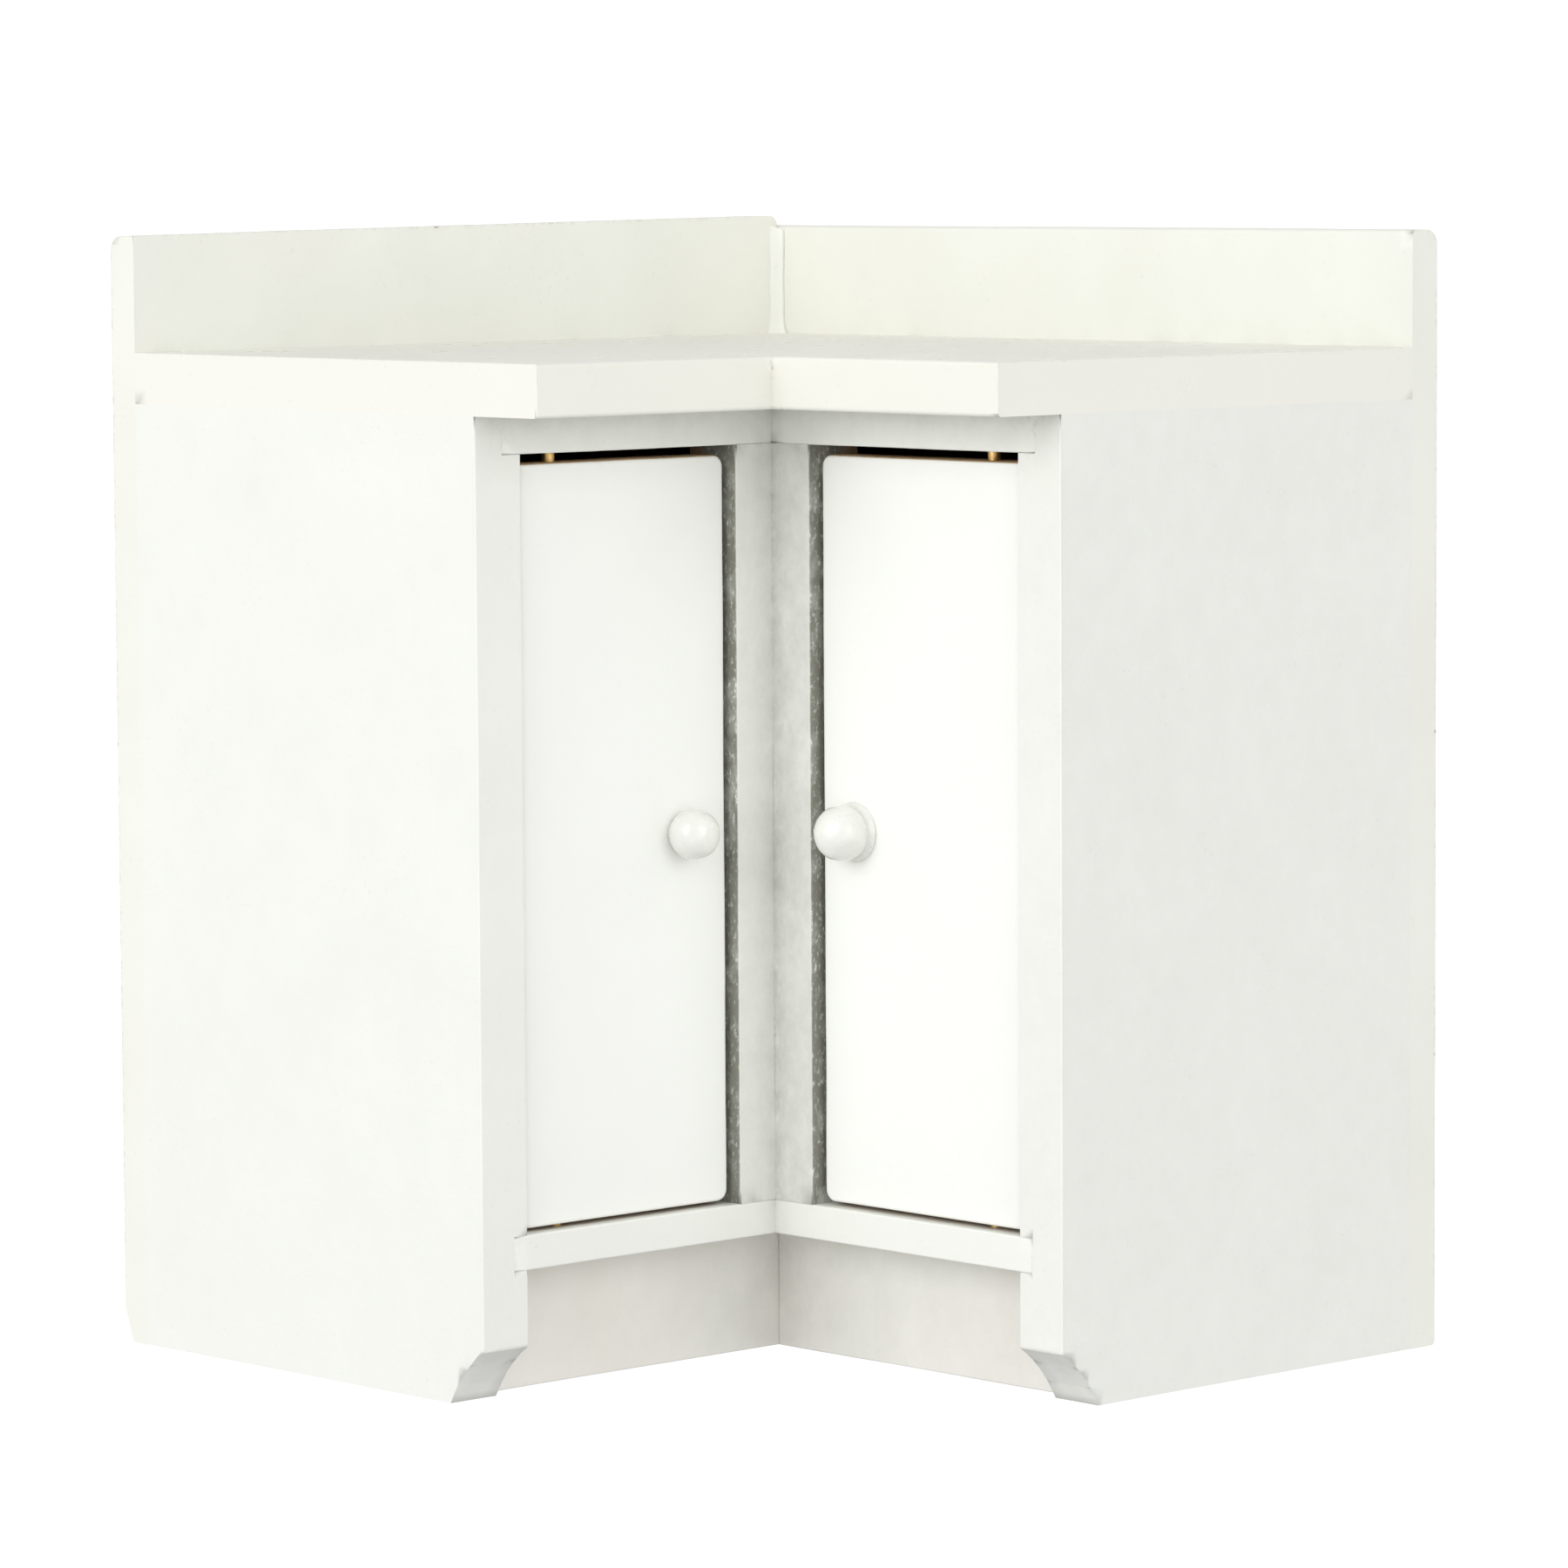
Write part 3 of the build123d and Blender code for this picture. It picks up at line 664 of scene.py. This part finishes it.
def craft_knob(arm):
    """Ball knob from the CAD knob's size, lumpy with thick enamel."""
    low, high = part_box(f"{arm}_knob")
    out = OUT_OF_FRONT[arm]
    up = Vector((0, 0, 1))
    side = out.cross(up)
    face = max(corner.dot(out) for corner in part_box(f"{arm}_door"))
    tip = max(low.dot(out), high.dot(out))
    centre = (low + high) / 2
    base = centre + out * (face - centre.dot(out))
    ball = base + out * KNOB_STAND_OFF
    radius = tip - face - KNOB_STAND_OFF
    foot, foot_height = FULL_FOOT if (high.z - low.z) / 2 > radius + 0.1 * MM else SMALL_FOOT
    mesh = bmesh.new()
    rings = []
    for across, along in knob_profile(radius - BALL_INSET, foot, foot_height):
        ring = []
        for index in range(KNOB_SPOKES):
            turn = 2 * math.pi * index / KNOB_SPOKES
            spoke = side * math.cos(turn) + up * math.sin(turn)
            place = base + out * along + spoke * across
            lump = noise.noise(place * 520) + 0.3 * noise.noise(place * 1500)
            swell = ENAMEL_LUMPS * lump if along > 0.05 * MM else 0.0
            ring.append(mesh.verts.new(place + (place - ball).normalized() * swell))
        rings.append(ring)
    join_rings(mesh, rings)
    pole = mesh.verts.new(ball + out * (radius - BALL_INSET))
    stem = mesh.verts.new(base - out * STEM_LENGTH)
    for index in range(KNOB_SPOKES):
        following = (index + 1) % KNOB_SPOKES
        mesh.faces.new((rings[-1][index], rings[-1][following], pole))
        mesh.faces.new((rings[0][following], rings[0][index], stem))
    bmesh.ops.recalc_face_normals(mesh, faces=mesh.faces)
    piece = make_piece(mesh, f"{arm}_knob_turned", PAINTS["knob_enamel"], creases=False)
    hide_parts(f"{arm}_knob")
    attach(piece, f"{arm}_door")


# ---------------------------------------------------------------- filler bead in the upstand
BEAD_SIDES = 6
BEAD_STEPS = 44
BEAD_TOP_DROP = 0.75 * MM     # how far under the left board's top the bead starts to slope off
BEAD_ROOT = 0.1 * MM          # how far it goes into the corner of the boards
# painted shade along the bead's margins, in the creases where it meets the boards
RIGHT_MARGIN_PAINTED_SHADE = 0.55
LEFT_MARGIN_PAINTED_SHADE = 0.2


def craft_bead():
    """Painted filler bead up the room corner, uneven, sloping off at its top, with painted shade in
    the creases at its margins.
    """
    low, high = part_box("upstand_corner_bead")
    corner = Vector((low.x, high.y, 0))
    width = high.x - low.x
    top_of_left_board = LEFT_BOARD_HIGH.z - BEAD_TOP_DROP
    mesh = bmesh.new()
    rings = []
    for step in range(BEAD_STEPS + 1):
        share = step / BEAD_STEPS
        ring = []
        for index in range(BEAD_SIDES + 1):
            part = index / BEAD_SIDES
            top = top_of_left_board + (high.z - top_of_left_board) * part
            height = WORKTOP_LOW.z + (top - WORKTOP_LOW.z) * share
            above_worktop = max(height - WORKTOP_HIGH.z, 0)
            swell = (1 + 0.12 * noise.noise(Vector((part, height * 330, 4)))
                     + 0.45 * math.exp(-above_worktop / (0.5 * MM)))
            hollow = math.sin(math.pi * part) * 0.12 * width
            left_side = Vector((0, -width * swell, 0))
            right_side = Vector((width * swell, 0, 0))
            place = corner + left_side.lerp(right_side, part) + Vector((-1, 1, 0)) * hollow * 0.7
            ring.append(mesh.verts.new((place.x, place.y, height)))
        ring.append(mesh.verts.new((corner.x - BEAD_ROOT, corner.y + BEAD_ROOT,
                                    WORKTOP_LOW.z + (high.z - WORKTOP_LOW.z) * share)))
        rings.append(ring)
    join_rings(mesh, rings)
    mesh.faces.new(rings[0][::-1])
    mesh.faces.new(rings[-1])
    bmesh.ops.recalc_face_normals(mesh, faces=mesh.faces)
    # painted shade on the margins of the bead
    painted_shade_layer = mesh.loops.layers.float.new("painted_shade")
    right_margin = {ring[BEAD_SIDES] for ring in rings}
    left_margin = {ring[0] for ring in rings}
    for face in mesh.faces:
        for loop in face.loops:
            loop[painted_shade_layer] = (RIGHT_MARGIN_PAINTED_SHADE * (loop.vert in right_margin)
                                 + LEFT_MARGIN_PAINTED_SHADE * (loop.vert in left_margin))
    piece = make_piece(mesh, "upstand_corner_bead_filled", PAINTS["filler_bead"])
    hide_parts("upstand_corner_bead")
    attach(piece, "carcass")


craft_bead()
for arm in ("left", "right"):
    craft_knob(arm)
    for end in ("top", "bottom"):
        pin = frame["nodes"][f"{arm}_{end}_hinge_pin"]
        pin.data.materials.clear()
        pin.data.materials.append(PAINTS["pin_brass"])

# ---------------------------------------------------------------- floor and light
SKY = 0.85                   # radiance of the tent's walls
OVERHEAD = 0.40              # how much darker the tent is overhead
BACKDROP = 0.25              # how much brighter the tent is behind the model
FROM_BELOW = 0.44            # radiance of the light that comes up past the floor, from straight below
FROM_FLOOR_FAR_OFF = 1.06    # and from the floor far off
FLOOR_SIZE = 4
FLOOR_GREY = (0.10, 0.10, 0.10, 1)
WHITE = (1, 1, 1, 1)
SOFTBOX_SIZE = 0.5
SOFTBOXES = {"left_box": (Vector((0.05, -0.70, 0.30)), 2.15),     # place and power
             "right_box": (Vector((0.70, -0.05, 0.30)), 1.15)}


def make_floor():
    """Plain white floor. Only the camera sees it, and the light from below is the tent's."""
    bpy.ops.mesh.primitive_plane_add(size=FLOOR_SIZE, location=(0, 0, cad_box[0].z))
    floor = bpy.context.object
    floor.name = "studio_floor"
    material = bpy.data.materials.new("studio_floor")
    material.use_nodes = True
    surface = material.node_tree.nodes["Principled BSDF"]
    surface.inputs["Base Color"].default_value = FLOOR_GREY
    surface.inputs["Roughness"].default_value = 1.0
    surface.inputs["Emission Color"].default_value = WHITE
    surface.inputs["Emission Strength"].default_value = 1.0
    floor.data.materials.append(material)
    floor.visible_diffuse = False
    floor.visible_glossy = False
    floor.visible_shadow = False


def make_softbox(name, place, power):
    data = bpy.data.lights.new(name, "AREA")
    data.shape = "SQUARE"
    data.size = SOFTBOX_SIZE
    data.energy = power
    light = bpy.data.objects.new(name, data)
    light.location = place
    aim = (cad_box[0] + cad_box[1]) / 2 - place
    light.rotation_euler = aim.to_track_quat("-Z", "Y").to_euler()
    bpy.context.scene.collection.objects.link(light)


def make_world():
    """White tent: a little darker overhead and below, brighter behind the model."""
    world = bpy.data.worlds.new("light_tent")
    world.use_nodes = True
    bpy.context.scene.world = world
    s = NodeGraph(world.node_tree)
    way = s.node("ShaderNodeSeparateXYZ", Vector=s.node("ShaderNodeTexCoord").outputs["Generated"])
    rise = way.outputs["Z"]
    behind = s.math("SUBTRACT", way.outputs["Y"], way.outputs["X"])
    glow = s.product(s.ramp(behind, 0.6, 1.1, 0.0, BACKDROP), s.ramp(rise, 0.1, 0.35, 1.0, 0.0))
    walls = s.math("ADD", glow, s.ramp(rise, 0.35, 0.95, SKY, SKY - OVERHEAD))
    below = s.ramp(rise, -0.50, -0.23, FROM_BELOW, FROM_FLOOR_FAR_OFF)
    is_below = s.math("LESS_THAN", rise, 0.0)
    level = s.math("ADD", walls, s.product(is_below, s.math("SUBTRACT", below, walls)))
    background = s.tree.nodes["Background"]
    background.inputs["Color"].default_value = WHITE
    s.put(background.inputs["Strength"], level)


make_floor()
make_world()
for name, (place, power) in SOFTBOXES.items():
    make_softbox(name, place, power)
bpy.context.scene.view_settings.view_transform = "Standard"
